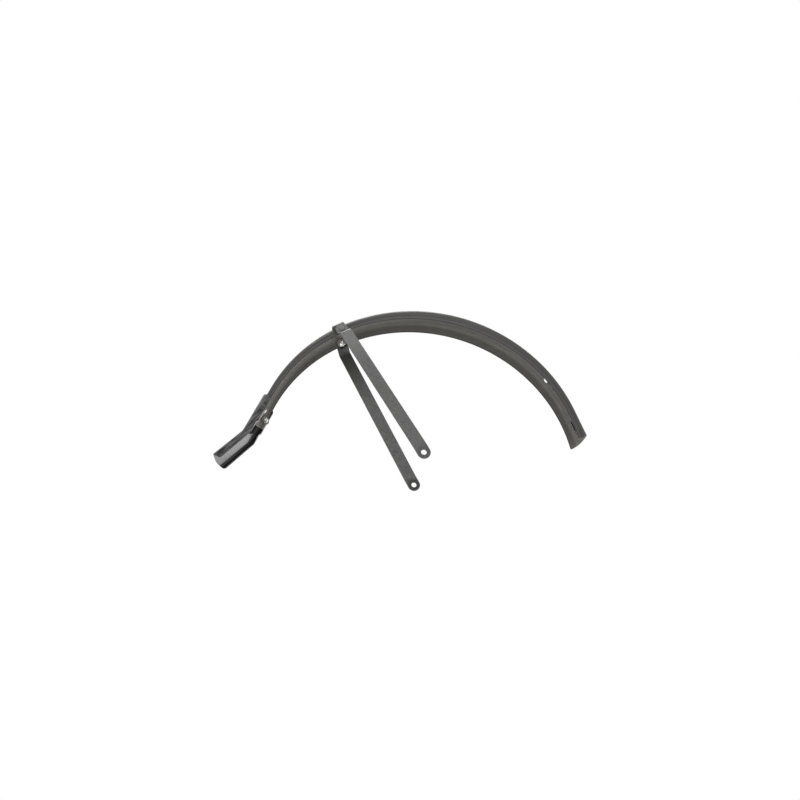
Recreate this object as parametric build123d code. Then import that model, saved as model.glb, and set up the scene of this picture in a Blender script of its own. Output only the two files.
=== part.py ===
from build123d import *
import math
import os

# A bicycle mudguard for a 24 inch wheel: pressed steel blade, strap, two flat stays and a moulded flap.
# Millimetres. The origin is on the wheel axle, +Y across the wheel, +Z up, +X towards the plain tip.

# Blade: the crown is one circle, the rims are a smaller one with a lower centre, so the flanks taper.
# The crown runs out straight at both ends; the rims stay on their circle to the tip.
CROWN_RADIUS = 313.0
CROWN_CENTRE = (9.9, 30.9)
RIM_STEP = 12.3
RIM_SHIFT = (-4.0, -12.5)
BLADE_WIDTH = 50.0
SHEET = 1.0
CROWN_CURVE = 110.0
SHOULDER_ROUND = 10.0
TIP_ANGLE = 15.0
TIP_LENGTH = 54.5
TIP_CUT_LEAN = 14.5
TAIL_ANGLE = 155.0
TAIL_LENGTH = 68.0
TAIL_DROP = 2.0
HEM_HEIGHT = 5.0
HEM_THICKNESS = 2.0 * SHEET
END_ROUND = 2.5

# Openings in the crown.
HOLE_ANGLE = 32.0
HOLE_OFFSET = 11.6
HOLE_RADIUS = 5.0
SLOT_ANGLE = 11.6
SLOT_OFFSET = 14.5
SLOT_LENGTH = 20.0
SLOT_WIDTH = 1.2

# Strap and stays.
STAY_BOLT_ANGLE = 119.9
STAY_BOLT_EDGE = 6.5
STRAP_WIDTH = 24.0
STRAP_THICKNESS = 3.0
STRAP_BEND = 5.0
STAY_WIDTH = 24.0
STAY_THICKNESS = 2.5
AXLE_HOLE_RADIUS = 5.0
AXLE_SPACING = 157.0
EYELET_PAD = 13.0
CRANK_BELOW_BOLT = 8.0
CRANK_RUN = 9.0
CRANK_OFFSET = 13.5
STAY_BEND = 4.0

# Fasteners: thread diameter, clearance on the hole's radius, head, washer and nut.
THREAD = 6.0
HOLE_CLEARANCE = 0.2
STAY_HEAD = (11.0, 3.0)
FLAP_HEAD = (12.0, 2.4)
STAY_WASHER = (17.0, 1.6)
FLAP_WASHER = (11.0, 1.0)
NUT_ACROSS = 10.0
NUT_HEIGHT = 5.0
THREAD_END = 2.0

# Flap: a channel that sleeves the tail, then turns outwards. It laps the tail, and its bend, its sleeve's
# end and its bolts are placed from the tail's end.
FLAP_WALL = 4.8
FLAP_LAP = 46.5
FLAP_REACH = 34.5
FLAP_BEND_ANGLE = 21.5
FLAP_BEND_RADIUS = 30.0
FLAP_LENGTH = 67.5
SLEEVE_DEPTH = 16.2
SLEEVE_PAST = 9.0
SLEEVE_STEP = 3.0
WALL_DEPTH = 13.8
FLAP_BOLT_IN = 18.5
FLAP_BOLT_DEPTH = 11.5
FLAP_TOP_ROUND = 8.0
FLAP_END_ROUND = 7.0
FLAP_PLAN_ROUND = 10.0

HALF_WIDTH = BLADE_WIDTH / 2
RIM_RADIUS = CROWN_RADIUS - RIM_STEP
FLAP_TOP = TAIL_LENGTH - FLAP_LAP
FLAP_BEND = TAIL_LENGTH + FLAP_REACH
SLEEVE_END = TAIL_LENGTH + SLEEVE_PAST
FLAP_BOLT_ALONG = TAIL_LENGTH - FLAP_BOLT_IN
# Cutting shapes reach this far past what they cut.
PAST = BLADE_WIDTH / 2
SIDES = {"left": -1, "right": 1}


def out_dir(angle):
    a = math.radians(angle)
    return Vector(math.cos(a), 0, math.sin(a))


def along_dir(angle):
    a = math.radians(angle)
    return Vector(-math.sin(a), 0, math.cos(a))


CROWN_O = Vector(CROWN_CENTRE[0], 0, CROWN_CENTRE[1])
RIM_O = CROWN_O + Vector(RIM_SHIFT[0], 0, RIM_SHIFT[1])
AXLE_WAY = Vector(0, 1, 0)


def crown_point(angle, height=0.0):
    return CROWN_O + out_dir(angle) * (CROWN_RADIUS + height)


def rim_height(angle, rise=0.0):
    # Height above the crown line of the rim circle, grown by a rise, at one angle of the crown.
    d = out_dir(angle)
    off = RIM_O - CROWN_O
    along = off.dot(d)
    return along + math.sqrt((RIM_RADIUS + rise) ** 2 - off.dot(off) + along**2) - CROWN_RADIUS


# The blade's cross-section, filled: height above the crown along x, width along y.
SHOULDER_Y = HALF_WIDTH - SHOULDER_ROUND
SHOULDER_DROP = CROWN_CURVE - math.sqrt((CROWN_CURVE - SHOULDER_ROUND) ** 2 - SHOULDER_Y**2)
JOIN_LEAN = math.asin(SHOULDER_Y / (CROWN_CURVE - SHOULDER_ROUND))


def section(offset, depth):
    crown = CROWN_CURVE + offset
    round_ = SHOULDER_ROUND + offset
    join = (crown * math.cos(JOIN_LEAN) - CROWN_CURVE, crown * math.sin(JOIN_LEAN))
    lean = (JOIN_LEAN + math.pi / 2) / 2
    mid = (round_ * math.cos(lean) - SHOULDER_DROP, SHOULDER_Y + round_ * math.sin(lean))
    flank = (-SHOULDER_DROP, HALF_WIDTH + offset)
    low = (-depth, HALF_WIDTH + offset)
    edges = [
        ThreePointArc((join[0], -join[1]), (offset, 0), join),
        ThreePointArc(join, mid, flank),
        Line(flank, low),
        Line(low, (low[0], -low[1])),
        Line((low[0], -low[1]), (flank[0], -flank[1])),
        ThreePointArc((flank[0], -flank[1]), (mid[0], -mid[1]), (join[0], -join[1])),
    ]
    return make_face(edges)


TAIL_OUT = out_dir(TAIL_ANGLE)
TAIL_WAY = along_dir(TAIL_ANGLE)
TAIL_START = crown_point(TAIL_ANGLE)
TAIL_DEPTH = TAIL_DROP - rim_height(TAIL_ANGLE)
TIP_OUT = out_dir(TIP_ANGLE)
TIP_WAY = along_dir(TIP_ANGLE) * -1
TIP_START = crown_point(TIP_ANGLE)
TIP_CUT = TIP_WAY * math.sin(math.radians(TIP_CUT_LEAN)) - TIP_OUT * math.cos(math.radians(TIP_CUT_LEAN))


def tail_point(along, height):
    return TAIL_START + TAIL_WAY * along + TAIL_OUT * height


def tip_point(along, height):
    return TIP_START + TIP_WAY * along + TIP_OUT * height


def arch(offset, depth):
    # The filled section swept round the crown circle and on along both straight ends.
    shape = section(offset, depth)
    start = Plane(TIP_START, x_dir=TIP_OUT, z_dir=TIP_WAY * -1)
    turn = Axis(CROWN_O, (0, -1, 0))
    bent = revolve(start * shape, axis=turn, revolution_arc=TAIL_ANGLE - TIP_ANGLE)
    tail = Plane(TAIL_START, x_dir=TAIL_OUT, z_dir=TAIL_WAY)
    bent = bent + extrude(tail * shape, amount=TAIL_LENGTH)
    return bent + extrude(start * shape, amount=-TIP_LENGTH - PAST)


def side_face(edges):
    # A face in the wheel's plane from edges given as points of that plane.
    return make_face(Wire(edges)).face()


def side_block(face, low, high):
    return extrude(Pos(0, low, 0) * face, amount=high - low, dir=AXLE_WAY)


def line(a, b):
    return Edge.make_line(a, b)


def arc(centre, radius, start, end):
    mid = (start + end) / 2
    pts = [centre + out_dir(a) * radius for a in (start, mid, end)]
    return Edge.make_three_point_arc(*pts)


def rim_angle(point):
    d = point - RIM_O
    return math.degrees(math.atan2(d.Z, d.X))


def tail_meets_rim(rise):
    # Where the straight tail's edge, raised by a height, runs into the rim circle grown by the same height.
    start = tail_point(0, rise - TAIL_DEPTH) - RIM_O
    half = start.dot(TAIL_WAY)
    along = -half + math.sqrt(half**2 - start.dot(start) + (RIM_RADIUS + rise) ** 2)
    return tail_point(along, rise - TAIL_DEPTH)


def tip_rim(rise):
    # Where the tip's leaning cut, going in from the crown, meets the rim circle grown by a rise.
    start = tip_point(TIP_LENGTH, 0) - RIM_O
    half = start.dot(TIP_CUT)
    inward = -half - math.sqrt(half**2 - start.dot(start) + (RIM_RADIUS + rise) ** 2)
    return tip_point(TIP_LENGTH, 0) + TIP_CUT * inward


def outside_rim(rise):
    # Everything outside the rim edge, from the tip's end to the tail's end.
    tip_in = tip_rim(rise)
    tip_out = tip_point(TIP_LENGTH, 0) - TIP_CUT * PAST
    tail_out = tail_point(TAIL_LENGTH, PAST)
    tail_in = tail_point(TAIL_LENGTH, rise - TAIL_DEPTH)
    meet = tail_meets_rim(rise)
    edges = [
        line(tip_in, tip_out),
        line(tip_out, crown_point(TIP_ANGLE, PAST)),
        arc(CROWN_O, CROWN_RADIUS + PAST, TIP_ANGLE, TAIL_ANGLE),
        line(crown_point(TAIL_ANGLE, PAST), tail_out),
        line(tail_out, tail_in),
        line(tail_in, meet),
        arc(RIM_O, RIM_RADIUS + rise, rim_angle(meet), rim_angle(tip_in)),
    ]
    return side_face(edges), tip_in, tail_in


def round_corners(face, points, radius):
    picked = [v for v in face.vertices() if any((Vector(v.X, v.Y, v.Z) - p).length < 0.01 for p in points)]
    return face.fillet_2d(radius, picked)


keep, tip_corner, tail_corner = outside_rim(0.0)
keep = round_corners(keep, [tip_corner, tail_corner], END_ROUND)
above_hem, _, _ = outside_rim(HEM_HEIGHT)

# The hem is left standing: the hollow is narrowed to the hem's inner face below the hem's top edge.
DEEP = SHOULDER_DROP + PAST
HEM_FACE = HALF_WIDTH - HEM_THICKNESS
hollow = arch(-SHEET, DEEP)
hollow = (hollow & side_block(above_hem, -HALF_WIDTH, HALF_WIDTH)) + (
    hollow & side_block(keep, -HEM_FACE, HEM_FACE)
)
blade = arch(0.0, DEEP) & side_block(keep, -HALF_WIDTH - PAST, HALF_WIDTH + PAST)
blade = blade - hollow


def cross_bore(point, radius, reach):
    turned = Plane(point, z_dir=AXLE_WAY)
    return turned * Cylinder(radius, 2 * reach)


STAY_BOLT_AT = crown_point(STAY_BOLT_ANGLE, rim_height(STAY_BOLT_ANGLE) + STAY_BOLT_EDGE)
FLAP_BOLT_AT = tail_point(FLAP_BOLT_ALONG, -FLAP_BOLT_DEPTH)
BOLT_HOLE = THREAD / 2 + HOLE_CLEARANCE


def crown_plane(angle, offset):
    # A plane on the crown beside its middle, square to the sheet there, with x along the blade.
    lean = math.asin(offset / CROWN_CURVE)
    way = out_dir(angle) * math.cos(lean) + AXLE_WAY * math.sin(lean)
    spot = crown_point(angle, -CROWN_CURVE) + way * CROWN_CURVE
    return Plane(spot, x_dir=along_dir(angle), z_dir=way)


hole = crown_plane(HOLE_ANGLE, HOLE_OFFSET) * Cylinder(HOLE_RADIUS, PAST)
slot_shape = crown_plane(SLOT_ANGLE, SLOT_OFFSET) * SlotOverall(SLOT_LENGTH, SLOT_WIDTH)
blade = blade - hole - extrude(slot_shape, amount=PAST / 2, both=True)
blade = blade - cross_bore(STAY_BOLT_AT, BOLT_HOLE, HALF_WIDTH + PAST)
blade = blade - cross_bore(FLAP_BOLT_AT, BOLT_HOLE, HALF_WIDTH + PAST)


def inner_half_width(depth):
    # Half the room inside the blade at a depth below the crown, where the shoulder or the hem narrows it.
    rise = SHOULDER_DROP - depth
    if rise <= 0:
        return HEM_FACE
    return min(HEM_FACE, SHOULDER_Y + math.sqrt((SHOULDER_ROUND - SHEET) ** 2 - rise**2))


# Strap: bent over the crown with its legs flat on the flanks, rounded round the stay bolts.
STRAP_OUT = out_dir(STAY_BOLT_ANGLE)
STRAP_ALONG = along_dir(STAY_BOLT_ANGLE)
STRAP_INNER = HALF_WIDTH
strap_plane = Plane(crown_point(STAY_BOLT_ANGLE), x_dir=AXLE_WAY, z_dir=-STRAP_ALONG)
leg_low = CROWN_RADIUS - (STAY_BOLT_AT - CROWN_O).length


def strap_section(offset, low):
    half = STRAP_INNER + offset
    box = Pos(0, (offset - low) / 2) * Rectangle(2 * half, low + offset)
    corners = [v for v in box.vertices() if v.Y > offset - 0.01]
    return fillet(corners, STRAP_BEND + offset)


strap_low = leg_low + STRAP_WIDTH
strap = extrude(strap_plane * strap_section(STRAP_THICKNESS, strap_low), amount=STRAP_WIDTH / 2, both=True)
strap = strap - extrude(strap_plane * strap_section(0.0, strap_low + PAST), amount=STRAP_WIDTH, both=True)
leg_plane = Plane(STAY_BOLT_AT, x_dir=STRAP_OUT, z_dir=AXLE_WAY)
leg_length = leg_low + PAST
leg_shape = Pos(leg_length / 2, 0) * Rectangle(leg_length, STRAP_WIDTH) + Circle(STRAP_WIDTH / 2)
strap = strap & extrude(leg_plane * leg_shape, amount=HALF_WIDTH + PAST, both=True)
strap = strap - cross_bore(STAY_BOLT_AT, BOLT_HOLE, HALF_WIDTH + PAST)

# Stays: flat bars with both pads parallel to the wheel, cranked outwards just below the bolts.
STAY_WAY = Vector(STAY_BOLT_AT.X, 0, STAY_BOLT_AT.Z)
STAY_REACH = STAY_WAY.length
STAY_WAY = STAY_WAY.normalized()
PAD_INNER = HALF_WIDTH + STRAP_THICKNESS
CRANK_END = STAY_REACH - CRANK_BELOW_BOLT
CRANK_START = CRANK_END - CRANK_RUN


def stay(side):
    # Drawn in the plane of the stay's length and the axle's way, then cut to the bar's rounded outline.
    plane = Plane((0, 0, 0), x_dir=STAY_WAY, z_dir=STAY_WAY.cross(AXLE_WAY * side))
    end = STAY_WIDTH / 2
    eyelet = AXLE_SPACING / 2 - STAY_THICKNESS / 2
    path = Polyline(
        (-end, eyelet),
        (EYELET_PAD, eyelet),
        (CRANK_START, PAD_INNER + CRANK_OFFSET),
        (CRANK_END, PAD_INNER),
        (STAY_REACH + end, PAD_INNER),
    )
    inner = fillet(path.vertices().sort_by(Axis.X)[1:-1], STAY_BEND)
    ribbon = offset(inner, amount=STAY_THICKNESS, side=Side.LEFT, closed=True)
    bar = extrude(plane * make_face(ribbon.edges()), amount=STAY_WIDTH / 2, both=True)
    flat = Plane((0, 0, 0), x_dir=STAY_WAY, z_dir=AXLE_WAY)
    shape = Pos(STAY_REACH / 2, 0) * SlotCenterToCenter(STAY_REACH, STAY_WIDTH)
    bar = bar & extrude(flat * shape, amount=AXLE_SPACING, both=True)
    bar = bar - cross_bore(Vector(0, 0, 0), AXLE_HOLE_RADIUS, AXLE_SPACING)
    return bar - cross_bore(STAY_BOLT_AT, BOLT_HOLE, AXLE_SPACING)


def across(point, y, side):
    # A plane at a place across the wheel, looking outwards from the blade.
    return Plane(point + AXLE_WAY * (y * side), x_dir=STRAP_OUT, z_dir=AXLE_WAY * side)


def bolt(point, side, seat, head, end):
    # A low head with a sloped edge on its seat, and a plain shank inwards to its end.
    plane = across(point, seat, side)
    dome = Cylinder(head[0] / 2, head[1], align=(Align.CENTER, Align.CENTER, Align.MIN))
    dome = chamfer(dome.edges().sort_by(Axis.Z)[-1], head[1] / 2)
    shank = Cylinder(THREAD / 2, seat - end, align=(Align.CENTER, Align.CENTER, Align.MAX))
    shank = chamfer(shank.edges().sort_by(Axis.Z)[0], THREAD / 12)
    return plane * (dome + shank)


def washer(point, side, face, size):
    ring = Cylinder(size[0] / 2, size[1], align=(Align.CENTER, Align.CENTER, Align.MAX))
    ring = ring - Cylinder(BOLT_HOLE, 3 * size[1])
    return across(point, face, side) * ring


def nut(point, side, face):
    # A hexagon with its corners turned off on the free side, bored to the thread's diameter.
    corner = NUT_ACROSS / math.sqrt(3)
    body = extrude(RegularPolygon(corner, 6), amount=-NUT_HEIGHT)
    cone = Cylinder(corner, NUT_HEIGHT, align=(Align.CENTER, Align.CENTER, Align.MAX))
    cone = chamfer(cone.edges().sort_by(Axis.Z)[0], corner - NUT_ACROSS / 2)
    body = (body & cone) - Cylinder(THREAD / 2, 3 * NUT_HEIGHT)
    return across(point, face, side) * body


# Flap: the blade's own section, one wall thicker, along the tail and then along the turned lower part.
turn_out = math.radians(FLAP_BEND_ANGLE)
LOW_WAY = TAIL_WAY * math.cos(turn_out) + TAIL_OUT * math.sin(turn_out)
LOW_OUT = TAIL_OUT * math.cos(turn_out) - TAIL_WAY * math.sin(turn_out)
LOW_START = tail_point(FLAP_BEND, 0)
bend_reach = FLAP_BEND_RADIUS * math.tan(turn_out / 2)
bend_axis = Axis(tail_point(FLAP_BEND - bend_reach, FLAP_BEND_RADIUS), (0, 1, 0))


def low_point(along, height):
    return LOW_START + LOW_WAY * along + LOW_OUT * height


def channel(offset, depth, start, end):
    upper = Plane(tail_point(start, 0), x_dir=TAIL_OUT, z_dir=TAIL_WAY)
    turn = Plane(tail_point(FLAP_BEND - bend_reach, 0), x_dir=TAIL_OUT, z_dir=TAIL_WAY)
    lower = Plane(low_point(bend_reach, 0), x_dir=LOW_OUT, z_dir=LOW_WAY)
    solid = extrude(upper * section(offset, depth), amount=FLAP_BEND - bend_reach - start)
    solid = solid + revolve(turn * section(offset, depth), axis=bend_axis, revolution_arc=FLAP_BEND_ANGLE)
    return solid + extrude(lower * section(offset, depth), amount=end - bend_reach)


rim_bend = WALL_DEPTH * math.tan(turn_out / 2)
flap_top_in = tail_point(FLAP_TOP, -SLEEVE_DEPTH)
flap_end_in = low_point(FLAP_LENGTH, -WALL_DEPTH)
flap_outline = [
    tail_point(FLAP_TOP, PAST),
    flap_top_in,
    tail_point(SLEEVE_END, -SLEEVE_DEPTH),
    tail_point(SLEEVE_END + SLEEVE_STEP, -WALL_DEPTH),
    tail_point(FLAP_BEND - rim_bend, -WALL_DEPTH),
    flap_end_in,
    low_point(FLAP_LENGTH, PAST),
    tail_point(FLAP_BEND - PAST * math.tan(turn_out / 2) * 2, PAST),
]
flap_edges = [line(a, b) for a, b in zip(flap_outline, flap_outline[1:] + flap_outline[:1])]
flap_side = round_corners(side_face(flap_edges), [flap_top_in], FLAP_TOP_ROUND)
flap_side = round_corners(flap_side, [flap_end_in], FLAP_END_ROUND)
flap_deep = SLEEVE_DEPTH + PAST
flap = channel(FLAP_WALL, flap_deep, FLAP_TOP, FLAP_LENGTH)
flap = flap - channel(0.0, flap_deep + SHEET, FLAP_TOP - SHEET, FLAP_LENGTH + SHEET)
flap_half = HALF_WIDTH + FLAP_WALL
flap = flap & side_block(flap_side, -flap_half - PAST, flap_half + PAST)
plan = Plane(LOW_START, x_dir=LOW_WAY, z_dir=LOW_OUT)
plan_long = FLAP_BEND + FLAP_LENGTH
plan_box = Pos(FLAP_LENGTH - plan_long / 2, 0) * Rectangle(plan_long, 2 * flap_half)
plan_box = fillet([v for v in plan_box.vertices() if v.X > 0], FLAP_PLAN_ROUND)
flap = flap & extrude(plan * plan_box, amount=plan_long, both=True)
flap = flap - cross_bore(FLAP_BOLT_AT, BOLT_HOLE, flap_half + PAST)

# Each washer lies on the hem, or on the shoulder where that comes first; nut and bolt end follow from it.
parts = {"mudguard_blade": blade, "stay_strap": strap, "mud_flap": flap}
for name, side in SIDES.items():
    parts[name + "_stay"] = stay(side)
    sets = (
        ("_stay", STAY_BOLT_AT, leg_low, PAD_INNER + STAY_THICKNESS, STAY_HEAD, STAY_WASHER),
        ("_flap", FLAP_BOLT_AT, FLAP_BOLT_DEPTH, flap_half, FLAP_HEAD, FLAP_WASHER),
    )
    for kind, spot, depth, seat, head, ring in sets:
        face = inner_half_width(depth - ring[0] / 2)
        end = face - ring[1] - NUT_HEIGHT - THREAD_END
        parts[name + kind + "_bolt"] = bolt(spot, side, seat, head, end)
        parts[name + kind + "_washer"] = washer(spot, side, face, ring)
        parts[name + kind + "_nut"] = nut(spot, side, face - ring[1])

os.makedirs("parts", exist_ok=True)
for name, shape in parts.items():
    solids = shape.solids()
    one = solids[0] if len(solids) == 1 else Compound(children=list(solids))
    one.label = name
    export_step(one, "parts/" + name + ".step")
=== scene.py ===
import math

import bpy
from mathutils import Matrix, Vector

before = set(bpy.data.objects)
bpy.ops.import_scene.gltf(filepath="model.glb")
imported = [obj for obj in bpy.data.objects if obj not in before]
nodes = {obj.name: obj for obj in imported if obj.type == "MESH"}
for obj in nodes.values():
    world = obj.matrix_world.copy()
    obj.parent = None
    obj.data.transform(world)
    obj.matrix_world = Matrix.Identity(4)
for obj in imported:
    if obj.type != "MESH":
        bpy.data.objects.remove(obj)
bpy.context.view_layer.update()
SIDES = ("left", "right")
ORIGIN = (0.0, 0.0, 0.0)

# Camera: below and in front of the wheel's plane, looking up into the arch.
CAMERA_AT = (-0.1633, -1.1393, -0.4655)
CAMERA_TURN = (118.054, 2.835, -5.303)
CAMERA_LENS = 30.223
CAMERA_REACH = 50.0

# Light: where each soft lamp stands, how wide it is in metres, and its watts.
AIM = (0.0, 0.0, 0.15)
LAMPS = {
    "front_low": ((-0.1, -1.3, -0.7), 1.0, 5.6),
    "right_back": ((1.0, 0.45, -0.6), 0.8, 14.5),
    "left_back": ((-1.0, 0.45, -0.6), 0.8, 5.9),
    "front_high": ((0.3, -1.05, 1.2), 0.8, 3.8),
    "left_front": ((-1.1, -1.0, 0.05), 0.8, 5.9),
    "right_front": ((1.2, -0.9, 0.1), 0.8, 3.1),
    "top": ((-0.1, 0.1, 1.6), 1.0, 15.0),
}
WORLD_LEVEL = 0.45
WHITE = (1.0, 1.0, 1.0, 1.0)

# Floor: as it is seen, it fades to plain white between two distances from the part.
FLOOR_Z = -1.3
FLOOR_SIZE = 60.0
FLOOR_TONES = ((0.83, 0.83, 0.83), (0.86, 0.86, 0.86))
FLOOR_CLOUD = (3.0, 3.0)
FLOOR_ROUGH = 0.9
FLOOR_WHITE = 0.8
FLOOR_FADE = (1.5, 6.0)

# Places on the part, in metres, that the materials are keyed to. A centre is an x and a z.
AXLE = (0.0, 0.0)
CROWN_CENTRE = (0.0099, 0.0309)
RIM_CENTRE = (0.0059, 0.0184)
RIM_RADIUS = 0.3007
HEM_HEIGHT = 0.005
BLADE_HALF = 0.025
SLOT_AT = (0.3151, 0.0144, 0.0935)
SLOT_HALF = 0.0095
SLOT_LEAN = math.radians(11.63)
SLOT_ALONG = (-math.sin(SLOT_LEAN), 0.0, math.cos(SLOT_LEAN))
FLAP_AT = (-0.3171, 0.0, 0.0703)
FLAP_LEAN = math.radians(43.5)
FLAP_DOWN = (-math.cos(FLAP_LEAN), 0.0, -math.sin(FLAP_LEAN))
FLAP_INWARD = (math.sin(FLAP_LEAN), 0.0, -math.cos(FLAP_LEAN))

# Bands along the hem, in metres above the rim: the middle and the half width of each. The first is a
# painted highlight on the hem's rounded fold, the second a painted shadow in the crease above it.
HEM_HIGHLIGHT = (HEM_HEIGHT * 0.6, HEM_HEIGHT * 0.5)
HEM_CREASE_SHADE = (HEM_HEIGHT * 1.5, HEM_HEIGHT * 0.3)

# Where a mark starts to change and where it has changed, in metres.
# Painted shade along the rim's lower edge, and how near the blade's sides it lies.
RIM_SHADE = (0.0004, 0.0016)
RIM_SIDE = (BLADE_HALF - 0.006, BLADE_HALF - 0.003)
SLOT_RING = (0.0015, 0.0026)
# Painted shadow high on the stays' inner faces, painted light high on their outer faces, and a darker
# ring round the axle hole.
STAY_TOP_SHADOW = (0.19, 0.27)
STAY_TOP_LIGHT = (0.22, 0.28)
AXLE_DARK_RING = (0.008, 0.016)
BOLT_PLATE = (BLADE_HALF - 0.0015, BLADE_HALF - 0.0005)
DUST_BELOW = (0.007, 0.009)
DUST_ABOVE = (-0.004, -0.003)
DUST_THINS = (0.035, 0.07)

# The same for how much a face looks one way: 1 straight along it, -1 straight against it.
LOOKS_OUT = (0.4, 0.9)
LOOKS_IN = (-0.2, -0.45)
LOOKS_INTO_CHANNEL = (0.05, -0.25)
LOOKS_AT_WHEEL = (0.6, 0.8)
EDGE_TURN = (0.97, 0.8)

# How much of a mark shows, at most or from least to most.
RISE = (0.0, 1.0)
FALL = (1.0, 0.0)
CLOUD_SHOWS = (0.0, 0.55)
GRAIN_SHOWS = (0.0, 0.5)
WEAR_SHOWS = (0.1, 0.6)
STREAK_SHOWS = (0.0, 0.55)
FILM_STREAK_SHOWS = 0.6
# Painted highlight on the hem, then painted shadow in its crease.
HEM_HIGHLIGHT_SHOWS = 0.7
HEM_CREASE_SHADE_SHOWS = 0.6
SPECK_SHOWS = (0.0, 0.6)
# Painted shadow on the stays, then the darker ring round the axle hole.
TOP_SHADOW_SHOWS = (0.0, 0.85)
AXLE_RING_SHOWS = (0.35, 0.9)
PLASTIC_EDGE_SHOWS = 0.5
DUST_SHOWS = (0.88, 1.0)
DUST_LEFT = (1.0, 0.72)

# Noise: cells per metre and levels of detail.
CLOUD = (38.0, 4.0)
WEAR = (260.0, 3.0)
BLADE_GRAIN = (1500.0, 2.0)
FILM_PATCHES = (55.0, 4.0)
STAY_GRAIN = (420.0, 2.0)
STAY_SPECKS = (380.0, 2.0)
SPANGLE = (700.0, 2.0)
BOLT_GRAIN = (600.0, 2.0)
MOTTLE = (160.0, 4.0)
DUST_PATCHES = (120.0, 5.0)

# Drawn-out noise: cells per radian round the arch, and per metre out from its centre and across it.
STREAK_CELLS = (3.0, 420.0, 160.0)
STREAK_DETAIL = 3.0
# Cells per metre down the flap and through its depth.
SCUFF_CELLS = (35.0, 210.0)
SCUFF_DETAIL = 5.0

# Which part of a noise's range is used.
MIDDLE = (0.3, 0.7)
NARROW = (0.35, 0.65)
WEAR_RANGE = (0.4, 0.62)
STREAK_RANGE = (0.35, 0.7)
SPECK_RANGE = (0.43, 0.57)
SCUFF_RANGE = (0.36, 0.7)

# Surfaces: least and most roughness, the noise of its patches, the noise of the grain, and the grain's
# strength and height in metres.
BLADE_SURFACE = dict(rough=(0.36, 0.5), patches=(70.0, 4.0), grain=(1100.0, 2.0), bump=(0.12, 0.0003))
STAY_SURFACE = dict(rough=(0.4, 0.55), patches=(90.0, 4.0), grain=(800.0, 2.0), bump=(0.18, 0.0003))
ZINC_SURFACE = dict(rough=(0.22, 0.4), patches=(450.0, 3.0), grain=(1600.0, 2.0), bump=(0.1, 0.0002))
BOLT_SURFACE = dict(rough=(0.28, 0.42), patches=(300.0, 3.0), grain=(1200.0, 2.0), bump=(0.1, 0.0002))
FLAP_SURFACE = dict(rough=(0.16, 0.3), patches=(140.0, 4.0), grain=(620.0, 3.0), bump=(0.1, 0.0003))
DUST_ROUGH = 0.45
PLAIN_GLOSS = 0.5
PAINT_GLOSS = 0.25
PLASTIC_GLOSS = 0.18

# Colours.
BLADE_COLOUR = (0.048, 0.047, 0.045)
BLADE_DARK = (0.041, 0.04, 0.038)
BLADE_STREAK = (0.059, 0.058, 0.054)
BLADE_EDGE = (0.08, 0.079, 0.075)
# Painted highlight on the hem's rounded fold.
HEM_HIGHLIGHT_PALE = (0.078, 0.077, 0.073)
FILM_THIN = (0.13, 0.128, 0.118)
FILM_THICK = (0.148, 0.145, 0.134)
FILM_STREAK = (0.163, 0.16, 0.147)
# Painted shade and shadow in the hem's crease, along the rim and on the stays; also the darker ring
# round the axle hole.
DARK_MARK = (0.026, 0.026, 0.025)
SLOT_DARK = (0.006, 0.006, 0.006)
STAY_COLOUR = (0.128, 0.128, 0.127)
STAY_DARK = (0.1, 0.1, 0.099)
STAY_SPECK = (0.052, 0.052, 0.051)
# Painted light on the stays' outer faces.
STAY_LIT = (0.15, 0.15, 0.148)
STAY_EDGE = (0.137, 0.137, 0.135)
ZINC_DULL = (0.62, 0.62, 0.6)
ZINC_BRIGHT = (0.8, 0.8, 0.78)
ZINC_EDGE = (0.86, 0.86, 0.85)
PLASTIC = (0.006, 0.006, 0.006)
PLASTIC_PALE = (0.011, 0.011, 0.011)
PLASTIC_EDGE = (0.05, 0.05, 0.05)
SCUFF = (0.14, 0.14, 0.14)
DUST = (0.3, 0.3, 0.3)

# Edges, in metres: how wide the wear on them is, and how far the meshes are welded and rounded.
PAINT_WEAR_WIDTH = 0.0008
ZINC_WEAR_WIDTH = 0.0004
PLASTIC_WEAR_WIDTH = 0.0012
WEAR_SAMPLES = 6
WELD = 0.00001
EDGE_ROUND = 0.0004
EDGE_STEPS = 2
SHARP_TURN = math.radians(32.0)


def add_camera():
    data = bpy.data.cameras.new("camera")
    data.lens = CAMERA_LENS
    data.clip_end = CAMERA_REACH
    camera = bpy.data.objects.new("camera", data)
    camera.location = CAMERA_AT
    camera.rotation_euler = [math.radians(a) for a in CAMERA_TURN]
    bpy.context.scene.collection.objects.link(camera)
    bpy.context.scene.camera = camera


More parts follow.
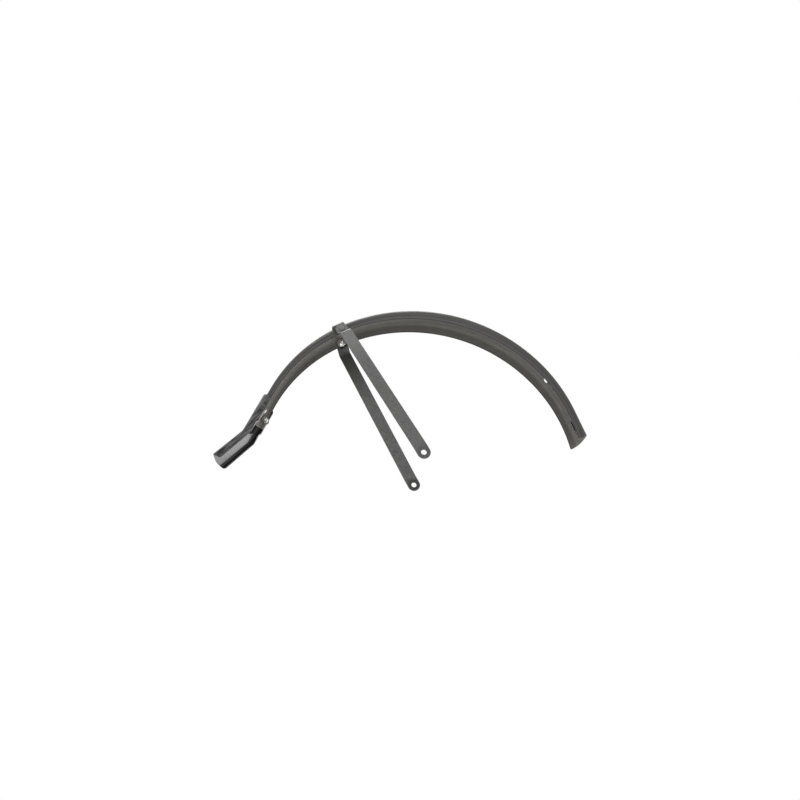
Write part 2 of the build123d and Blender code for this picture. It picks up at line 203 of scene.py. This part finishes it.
class Sheet:
    """A material's node tree, with short ways to add nodes to it."""

    def __init__(self, name, metallic=0.0, gloss=PLAIN_GLOSS):
        self.material = bpy.data.materials.new(name)
        self.material.use_nodes = True
        self.tree = self.material.node_tree
        self.shader = self.tree.nodes["Principled BSDF"]
        self.shader.inputs["Metallic"].default_value = metallic
        self.shader.inputs["Specular IOR Level"].default_value = gloss
        self.place = self.tree.nodes.new("ShaderNodeTexCoord").outputs["Object"]

    def plug(self, socket, value):
        if isinstance(value, bpy.types.NodeSocket):
            self.tree.links.new(value, socket)
        else:
            socket.default_value = value

    def maths(self, operation, first, second=0.0):
        node = self.tree.nodes.new("ShaderNodeMath")
        node.operation = operation
        self.plug(node.inputs[0], first)
        self.plug(node.inputs[1], second)
        return node.outputs["Value"]

    def minus(self, first, second):
        return self.maths("SUBTRACT", first, second)

    def times(self, first, *others):
        for other in others:
            first = self.maths("MULTIPLY", first, other)
        return first

    def vector(self, operation, first, second=ORIGIN):
        node = self.tree.nodes.new("ShaderNodeVectorMath")
        node.operation = operation
        self.plug(node.inputs[0], first)
        self.plug(node.inputs[1], second)
        return node.outputs["Value" if operation in ("DOT_PRODUCT", "LENGTH") else "Vector"]

    def dot(self, first, second):
        return self.vector("DOT_PRODUCT", first, second)

    def split(self, vector):
        node = self.tree.nodes.new("ShaderNodeSeparateXYZ")
        self.plug(node.inputs["Vector"], vector)
        return node.outputs

    def join(self, x, y, z):
        node = self.tree.nodes.new("ShaderNodeCombineXYZ")
        for socket, value in zip(node.inputs, (x, y, z)):
            self.plug(socket, value)
        return node.outputs["Vector"]

    def across(self):
        """The place along the axle, 0 in the middle of the blade."""
        return self.split(self.place)[1]

    def normal(self):
        return self.tree.nodes.new("ShaderNodeNewGeometry").outputs["Normal"]

    def noise(self, scale, detail, place=None):
        node = self.tree.nodes.new("ShaderNodeTexNoise")
        node.inputs["Scale"].default_value = scale
        node.inputs["Detail"].default_value = detail
        self.plug(node.inputs["Vector"], self.place if place is None else place)
        return node.outputs["Fac"]

    def spread(self, value, source, target=RISE):
        """A value's source range stretched to the target range, and held at its ends."""
        node = self.tree.nodes.new("ShaderNodeMapRange")
        self.plug(node.inputs["Value"], value)
        ends = ("From Min", "From Max", "To Min", "To Max")
        for name, number in zip(ends, (*source, *target)):
            node.inputs[name].default_value = number
        return node.outputs["Result"]

    def blend(self, amount, first, second):
        node = self.tree.nodes.new("ShaderNodeMix")
        node.data_type = "RGBA"
        self.plug(node.inputs["Factor"], amount)
        colours = [s for s in node.inputs if s.type == "RGBA"]
        for socket, value in zip(colours, (first, second)):
            self.plug(socket, (*value, 1.0) if isinstance(value, tuple) else value)
        return [s for s in node.outputs if s.type == "RGBA"][0]

    def edges(self, width):
        """How far a rounded normal leans from the true one: 0 on flats, 1 on edges."""
        bevel = self.tree.nodes.new("ShaderNodeBevel")
        bevel.samples = WEAR_SAMPLES
        bevel.inputs["Radius"].default_value = width
        return self.spread(self.dot(bevel.outputs["Normal"], self.normal()), EDGE_TURN)

    def finish(self, colour, rough, patches, grain, bump, more_rough=None):
        """Plug in the colour, a patchy roughness and a fine bumpy grain."""
        roughness = self.spread(self.noise(*patches), MIDDLE, rough)
        if more_rough is not None:
            roughness = self.maths("ADD", roughness, more_rough)
        strength, height = bump
        node = self.tree.nodes.new("ShaderNodeBump")
        node.inputs["Strength"].default_value = strength
        node.inputs["Distance"].default_value = height
        self.plug(node.inputs["Height"], self.noise(*grain))
        self.plug(self.shader.inputs["Normal"], node.outputs["Normal"])
        self.plug(self.shader.inputs["Base Color"], colour)
        self.plug(self.shader.inputs["Roughness"], roughness)
        return self.material


def from_centre(sheet, centre):
    """The way from a centre, in the wheel's plane."""
    x, _, z = sheet.split(sheet.place)
    return sheet.join(sheet.minus(x, centre[0]), 0.0, sheet.minus(z, centre[1]))


def distance(sheet, centre):
    return sheet.vector("LENGTH", from_centre(sheet, centre))


def from_middle(sheet):
    """How far a face looks away from the wheel: more than 0 outwards, less than 0 inwards."""
    share = sheet.maths("DIVIDE", sheet.across(), BLADE_HALF)
    return sheet.times(sheet.split(sheet.normal())[1], share)


def outer_side(sheet):
    """1 on the upright faces that look away from the wheel, 0 elsewhere."""
    return sheet.spread(from_middle(sheet), LOOKS_OUT)


def inner_side(sheet):
    """1 on the upright faces that look at the wheel, 0 elsewhere, also far out from the blade."""
    side = sheet.maths("SIGN", sheet.across())
    return sheet.spread(sheet.times(sheet.split(sheet.normal())[1], side), LOOKS_IN)


def channel_inside(sheet):
    """1 on the faces that look into the blade's channel, 0 on its outside."""
    outward = sheet.vector("NORMALIZE", from_centre(sheet, CROWN_CENTRE))
    crown = sheet.dot(sheet.normal(), outward)
    return sheet.spread(sheet.maths("ADD", crown, from_middle(sheet)), LOOKS_INTO_CHANNEL)


def band_of(sheet, value, middle, half):
    """1 at a middle value, falling to 0 at a half width either side."""
    off = sheet.maths("ABSOLUTE", sheet.minus(value, middle))
    return sheet.spread(off, (0.0, half), FALL)


def painted(sheet, base, dark, pale, grain):
    """Sprayed paint: fine grain, faint cloudiness and thin, paler edges."""
    cloud = sheet.spread(sheet.noise(*CLOUD), MIDDLE, CLOUD_SHOWS)
    fine = sheet.spread(sheet.noise(*grain), MIDDLE, GRAIN_SHOWS)
    colour = sheet.blend(cloud, base, dark)
    colour = sheet.blend(fine, colour, base)
    wear = sheet.spread(sheet.noise(*WEAR), WEAR_RANGE, WEAR_SHOWS)
    return sheet.blend(sheet.times(sheet.edges(PAINT_WEAR_WIDTH), wear), colour, pale)


def arch_streaks(sheet):
    """Long faint streaks that follow the arch, left by drawing the strip."""
    across, _, up = sheet.split(from_centre(sheet, CROWN_CENTRE))
    angle = sheet.maths("ARCTAN2", up, across)
    ways = (angle, distance(sheet, CROWN_CENTRE), sheet.across())
    run = sheet.join(*[sheet.times(way, cells) for way, cells in zip(ways, STREAK_CELLS)])
    return sheet.spread(sheet.noise(1.0, STREAK_DETAIL, run), STREAK_RANGE, STREAK_SHOWS)


def slot_ring(sheet):
    """1 close round the slot, 0 away from it."""
    off = sheet.vector("SUBTRACT", sheet.place, SLOT_AT)
    along = sheet.maths("ABSOLUTE", sheet.dot(off, SLOT_ALONG))
    past = sheet.maths("MAXIMUM", sheet.minus(along, SLOT_HALF), 0.0)
    far = sheet.vector("LENGTH", off)
    wide = sheet.minus(sheet.times(far, far), sheet.times(along, along))
    wide = sheet.maths("SQRT", sheet.maths("MAXIMUM", wide, 0.0))
    return sheet.spread(sheet.maths("ADD", wide, past), SLOT_RING, FALL)


def make_blade_paint():
    sheet = Sheet("blade_paint", gloss=PAINT_GLOSS)
    colour = painted(sheet, BLADE_COLOUR, BLADE_DARK, BLADE_EDGE, BLADE_GRAIN)
    streak = arch_streaks(sheet)
    colour = sheet.blend(streak, colour, BLADE_STREAK)
    # A thin film of dry dust inside the channel, where the wheel throws it.
    film = sheet.spread(sheet.noise(*FILM_PATCHES), MIDDLE)
    film = sheet.blend(film, FILM_THIN, FILM_THICK)
    film = sheet.blend(sheet.times(streak, FILM_STREAK_SHOWS), film, FILM_STREAK)
    colour = sheet.blend(channel_inside(sheet), colour, film)
    # The folded hem: a pale band of painted highlight on its rounded fold, a painted shadow in the
    # crease above it, and painted shade along its lower edge.
    height = sheet.minus(distance(sheet, RIM_CENTRE), RIM_RADIUS)
    side = outer_side(sheet)
    painted_light = sheet.times(band_of(sheet, height, *HEM_HIGHLIGHT), side, HEM_HIGHLIGHT_SHOWS)
    colour = sheet.blend(painted_light, colour, HEM_HIGHLIGHT_PALE)
    crease_shade = sheet.times(band_of(sheet, height, *HEM_CREASE_SHADE), side, HEM_CREASE_SHADE_SHOWS)
    colour = sheet.blend(crease_shade, colour, DARK_MARK)
    low = sheet.spread(height, RIM_SHADE, FALL)
    rim = sheet.spread(sheet.maths("ABSOLUTE", sheet.across()), RIM_SIDE)
    colour = sheet.blend(sheet.times(low, rim), colour, DARK_MARK)
    colour = sheet.blend(slot_ring(sheet), colour, SLOT_DARK)
    return sheet.finish(colour, **BLADE_SURFACE)


def make_stay_paint():
    sheet = Sheet("stay_paint", gloss=PAINT_GLOSS)
    colour = painted(sheet, STAY_COLOUR, STAY_DARK, STAY_EDGE, STAY_GRAIN)
    speck = sheet.spread(sheet.noise(*STAY_SPECKS), SPECK_RANGE, SPECK_SHOWS)
    colour = sheet.blend(speck, colour, STAY_SPECK)
    # Painted shadow on the inner face under the strap, darker towards the top, and painted light on
    # the outer one, paler towards the top.
    far = distance(sheet, AXLE)
    inner = inner_side(sheet)
    top_shadow = sheet.times(inner, sheet.spread(far, STAY_TOP_SHADOW, TOP_SHADOW_SHOWS))
    colour = sheet.blend(top_shadow, colour, DARK_MARK)
    painted_light = sheet.times(sheet.minus(1.0, inner), sheet.spread(far, STAY_TOP_LIGHT))
    colour = sheet.blend(painted_light, colour, STAY_LIT)
    # A darker ring round the axle hole, most of it on the inner face.
    axle_ring = sheet.spread(far, AXLE_DARK_RING, FALL)
    axle_ring = sheet.times(axle_ring, sheet.spread(inner, RISE, AXLE_RING_SHOWS))
    colour = sheet.blend(axle_ring, colour, DARK_MARK)
    return sheet.finish(colour, **STAY_SURFACE)


def make_zinc():
    sheet = Sheet("zinc", metallic=1.0)
    spangle = sheet.spread(sheet.noise(*SPANGLE), NARROW)
    colour = sheet.blend(spangle, ZINC_DULL, ZINC_BRIGHT)
    colour = sheet.blend(sheet.edges(ZINC_WEAR_WIDTH), colour, ZINC_EDGE)
    return sheet.finish(colour, **ZINC_SURFACE)


def make_bolt(name, head, head_pale):
    """A bolt with a coloured head outside the blade and a bright plated thread inside it."""
    sheet = Sheet(name)
    inside = sheet.spread(sheet.maths("ABSOLUTE", sheet.across()), BOLT_PLATE, FALL)
    grain = sheet.spread(sheet.noise(*BOLT_GRAIN), NARROW)
    plate = sheet.blend(grain, ZINC_DULL, ZINC_BRIGHT)
    cap = sheet.blend(grain, head, head_pale)
    sheet.plug(sheet.shader.inputs["Metallic"], inside)
    return sheet.finish(sheet.blend(inside, cap, plate), **BOLT_SURFACE)


def make_flap_plastic():
    sheet = Sheet("flap_plastic", gloss=PLASTIC_GLOSS)
    mottle = sheet.spread(sheet.noise(*MOTTLE), NARROW)
    colour = sheet.blend(mottle, PLASTIC, PLASTIC_PALE)
    edge = sheet.times(sheet.edges(PLASTIC_WEAR_WIDTH), PLASTIC_EDGE_SHOWS)
    colour = sheet.blend(edge, colour, PLASTIC_EDGE)
    # Scuffs that run along the outer sides.
    ways = (sheet.dot(sheet.place, FLAP_DOWN), sheet.dot(sheet.place, FLAP_INWARD))
    down, inward = [sheet.times(way, cells) for way, cells in zip(ways, SCUFF_CELLS)]
    scuff = sheet.noise(1.0, SCUFF_DETAIL, sheet.join(down, inward, sheet.across()))
    scuff = sheet.spread(scuff, SCUFF_RANGE)
    colour = sheet.blend(sheet.times(scuff, outer_side(sheet)), colour, SCUFF)
    # Dry dust on the face that the wheel throws dirt at, thinner towards the flap's end.
    facing = sheet.spread(sheet.dot(sheet.normal(), FLAP_INWARD), LOOKS_AT_WHEEL)
    off = sheet.vector("SUBTRACT", sheet.place, FLAP_AT)
    depth = sheet.dot(off, FLAP_INWARD)
    dust = sheet.times(facing, sheet.spread(depth, DUST_BELOW, FALL), sheet.spread(depth, DUST_ABOVE))
    patch = sheet.spread(sheet.noise(*DUST_PATCHES), MIDDLE, DUST_SHOWS)
    thinned = sheet.spread(sheet.dot(off, FLAP_DOWN), DUST_THINS, DUST_LEFT)
    dust = sheet.times(dust, sheet.times(patch, thinned))
    colour = sheet.blend(dust, colour, DUST)
    return sheet.finish(colour, **FLAP_SURFACE, more_rough=sheet.times(dust, DUST_ROUGH))


def give(material, names):
    for name in names:
        data = nodes[name].data
        data.materials.clear()
        data.materials.append(material)


def soften(name):
    """Weld the facets of a CAD node, round its edges a little, and smooth the shading."""
    piece = nodes[name]
    weld = piece.modifiers.new("weld", "WELD")
    weld.merge_threshold = WELD
    bevel = piece.modifiers.new("edges", "BEVEL")
    bevel.width = EDGE_ROUND
    bevel.segments = EDGE_STEPS
    bevel.limit_method = "ANGLE"
    bevel.angle_limit = SHARP_TURN
    bevel.harden_normals = True


def add_lamps():
    for name, (at, width, watts) in LAMPS.items():
        data = bpy.data.lights.new(name, "AREA")
        data.shape = "SQUARE"
        data.size = width
        data.energy = watts
        lamp = bpy.data.objects.new(name, data)
        lamp.location = at
        lamp.rotation_euler = (Vector(AIM) - Vector(at)).to_track_quat("-Z", "Y").to_euler()
        lamp.visible_camera = False
        bpy.context.scene.collection.objects.link(lamp)


def seen_rays(tree):
    """1 for rays from the camera, and for those that it sees in metal or through glass."""
    path = tree.nodes.new("ShaderNodeLightPath")
    either = path.outputs["Is Camera Ray"]
    for other in ("Is Glossy Ray", "Is Transmission Ray"):
        most = tree.nodes.new("ShaderNodeMath")
        most.operation = "MAXIMUM"
        tree.links.new(either, most.inputs[0])
        tree.links.new(path.outputs[other], most.inputs[1])
        either = most.outputs["Value"]
    return either


def add_world():
    """Soft light from all round, and plain white where the background is seen."""
    world = bpy.data.worlds.new("world")
    world.use_nodes = True
    bpy.context.scene.world = world
    tree = world.node_tree
    tree.nodes.clear()
    out = tree.nodes.new("ShaderNodeOutputWorld")
    mix = tree.nodes.new("ShaderNodeMixShader")
    for socket, level in zip(mix.inputs[1:], (WORLD_LEVEL, 1.0)):
        glow = tree.nodes.new("ShaderNodeBackground")
        glow.inputs["Color"].default_value = WHITE
        glow.inputs["Strength"].default_value = level
        tree.links.new(glow.outputs["Background"], socket)
    tree.links.new(seen_rays(tree), mix.inputs["Fac"])
    tree.links.new(mix.outputs["Shader"], out.inputs["Surface"])


def add_floor():
    bpy.ops.mesh.primitive_plane_add(size=FLOOR_SIZE, location=(0, 0, FLOOR_Z))
    floor = bpy.context.object
    floor.name = "floor"
    sheet = Sheet("floor_white")
    tone = sheet.spread(sheet.noise(*FLOOR_CLOUD), MIDDLE)
    sheet.plug(sheet.shader.inputs["Base Color"], sheet.blend(tone, *FLOOR_TONES))
    sheet.plug(sheet.shader.inputs["Roughness"], FLOOR_ROUGH)
    white = sheet.tree.nodes.new("ShaderNodeEmission")
    mix = sheet.tree.nodes.new("ShaderNodeMixShader")
    share = sheet.spread(sheet.vector("LENGTH", sheet.place), FLOOR_FADE, (FLOOR_WHITE, 1.0))
    sheet.plug(mix.inputs["Fac"], sheet.times(seen_rays(sheet.tree), share))
    sheet.plug(mix.inputs[1], sheet.shader.outputs["BSDF"])
    sheet.plug(mix.inputs[2], white.outputs["Emission"])
    out = sheet.tree.nodes["Material Output"]
    sheet.plug(out.inputs["Surface"], mix.outputs["Shader"])
    floor.data.materials.append(sheet.material)


bpy.context.scene.view_settings.view_transform = "Standard"
add_camera()
add_world()
add_lamps()
add_floor()

give(make_blade_paint(), ["mudguard_blade", "stay_strap"])
give(make_stay_paint(), [s + "_stay" for s in SIDES])
give(make_bolt("stay_bolt_paint", STAY_COLOUR, STAY_EDGE), [s + "_stay_bolt" for s in SIDES])
give(make_flap_plastic(), ["mud_flap"])
give(make_bolt("flap_bolt_black", PLASTIC, PLASTIC_EDGE), [s + "_flap_bolt" for s in SIDES])
small = ("_stay_washer", "_stay_nut", "_flap_washer", "_flap_nut")
give(make_zinc(), [s + n for s in SIDES for n in small])

for name in nodes:
    soften(name)
